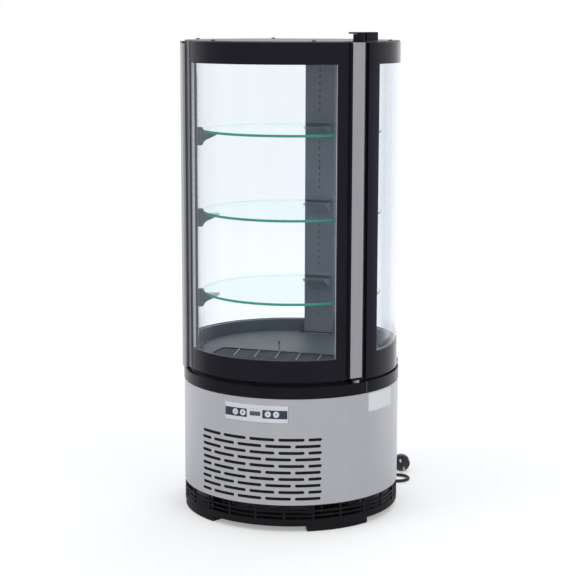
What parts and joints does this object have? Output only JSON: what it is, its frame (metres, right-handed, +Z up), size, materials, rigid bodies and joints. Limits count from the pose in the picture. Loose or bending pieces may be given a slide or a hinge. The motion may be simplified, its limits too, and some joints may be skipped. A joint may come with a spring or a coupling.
{
  "type": "refrigerated display case",
  "caption": "Round refrigerated display case with a curved hinged glass door, round glass shelves on clips, a slotted steel base with buttons, and a mains lead with its plug.",
  "frame": {"origin": "centre of the bounding box's bottom, on the floor and on the case's own axis, measured without the mains lead", "axes": "+Z up along the case's axis; -Y out through the middle of the door, the control panel and the front grille; +X to the right of someone who faces the door"},
  "size_m": [0.4496, 0.5768, 0.985],
  "materials": {
    "black_plastic": "satin black moulded plastic",
    "brushed_steel": "soft horizontal brushing",
    "aluminium_profile": "satin anodised",
    "dark_grey_plastic": "matte dark grey",
    "pane_glass": "clear, with a printed black border",
    "shelf_glass": "clear, with green polished edges",
    "spacer_metal": "mill finish, dark behind the print",
    "black_rubber": "matte",
    "white_liner": "smooth white",
    "grey_liner": "smooth light grey",
    "painted_top": "pale grey paint",
    "lamp_diffuser": "milky",
    "panel_film": "pale grey film with dark blocks",
    "white_buttons": "white",
    "display_black": "dark window",
    "nickel_pin": "plated",
    "galvanised_sheet": "zinc coated",
    "coil_fins": "thin fins",
    "compressor_paint": "black paint",
    "motor_case": "dark grey",
    "copper_pipe": "copper tube",
    "cord_black": "matte black sheath"
  },
  "bodies": {
    "case": {"base_tray": "black_plastic", "compressor": "compressor_paint", "condensate_pan": "galvanised_sheet", "condenser_coil": "coil_fins", "condenser_motor": "motor_case", "control_box": "dark_grey_plastic", "control_panel": "panel_film", "cord_coil": "cord_black", "cord_gland": "black_rubber", "cord_tail": "cord_black", "discharge_pipe": "copper_pipe", "display_window": "display_black", "drain_hose": "black_rubber", "evaporator_coil": "coil_fins", "evaporator_motor": "motor_case", "fan_shroud": "galvanised_sheet", "floor_plate": "grey_liner", "floor_tray": "dark_grey_plastic", "hinge_bracket": "black_plastic", "hinge_pin": "nickel_pin", "insulated_tub": "white_liner", "lamp_left": "lamp_diffuser", "lamp_right": "lamp_diffuser", "left_inner_pane": "pane_glass", "left_outer_pane": "pane_glass", "left_spacer": "spacer_metal", "mains_cord": "cord_black", "mains_plug": "cord_black", "neck_ring": "black_plastic", "pane_clip": "black_plastic", "post_left": "dark_grey_plastic", "post_right": "dark_grey_plastic", "rear_column": "dark_grey_plastic", "rear_cover": "black_plastic", "right_inner_pane": "pane_glass", "right_outer_pane": "pane_glass", "right_spacer": "spacer_metal", "roof_core": "white_liner", "steel_wrap": "brushed_steel", "suction_pipe": "copper_pipe", "top_plate": "painted_top"},
    "door": {"door_outer_pane": "pane_glass", "door_inner_pane": "pane_glass", "door_spacer": "spacer_metal", "door_gasket": "black_rubber", "handle_stile": "aluminium_profile", "handle_cap": "black_plastic", "hinge_stile": "aluminium_profile", "pivot_bush": "black_plastic", "hinge_barrel": "black_plastic"},
    "upper_shelf": {"shelf_1": "shelf_glass"},
    "middle_shelf": {"shelf_2": "shelf_glass"},
    "lower_shelf": {"shelf_3": "shelf_glass"},
    "button_1": {"button_1": "white_buttons"},
    "button_2": {"button_2": "white_buttons"},
    "button_3": {"button_3": "white_buttons"},
    "button_4": {"button_4": "white_buttons"},
    "condenser_fan": {"condenser_fan": "dark_grey_plastic"},
    "evaporator_fan": {"evaporator_fan": "dark_grey_plastic"}
  },
  "joints": [
    {"name": "door_hinge", "type": "hinge", "parent": "case", "child": "door", "pos_m": [0.17694, -0.12389, 0.3035], "axis": [0, 0, 1], "range_deg": [0, 110]},
    {"name": "upper_shelf_lift", "type": "slide", "parent": "case", "child": "upper_shelf", "axis": [0, 0, 1], "range_m": [0, 0.04]},
    {"name": "middle_shelf_lift", "type": "slide", "parent": "case", "child": "middle_shelf", "axis": [0, 0, 1], "range_m": [0, 0.04]},
    {"name": "lower_shelf_lift", "type": "slide", "parent": "case", "child": "lower_shelf", "axis": [0, 0, 1], "range_m": [0, 0.04]},
    {"name": "button_1_press", "type": "slide", "parent": "case", "child": "button_1", "axis": [0.19, 0.9818, 0], "range_m": [0, 0.0008], "stiffness_N_per_m": 400},
    {"name": "button_2_press", "type": "slide", "parent": "case", "child": "button_2", "axis": [0.1167, 0.9932, 0], "range_m": [0, 0.0008], "stiffness_N_per_m": 400},
    {"name": "button_3_press", "type": "slide", "parent": "case", "child": "button_3", "axis": [-0.1167, 0.9932, 0], "range_m": [0, 0.0008], "stiffness_N_per_m": 400},
    {"name": "button_4_press", "type": "slide", "parent": "case", "child": "button_4", "axis": [-0.19, 0.9818, 0], "range_m": [0, 0.0008], "stiffness_N_per_m": 400},
    {"name": "condenser_fan_spin", "type": "hinge", "parent": "case", "child": "condenser_fan", "pos_m": [0, -0.1306, 0.1], "axis": [0, 1, 0], "continuous": true},
    {"name": "evaporator_fan_spin", "type": "hinge", "parent": "case", "child": "evaporator_fan", "pos_m": [0, 0.08, 0.2573], "axis": [0, 1, 0], "continuous": true}
  ]
}
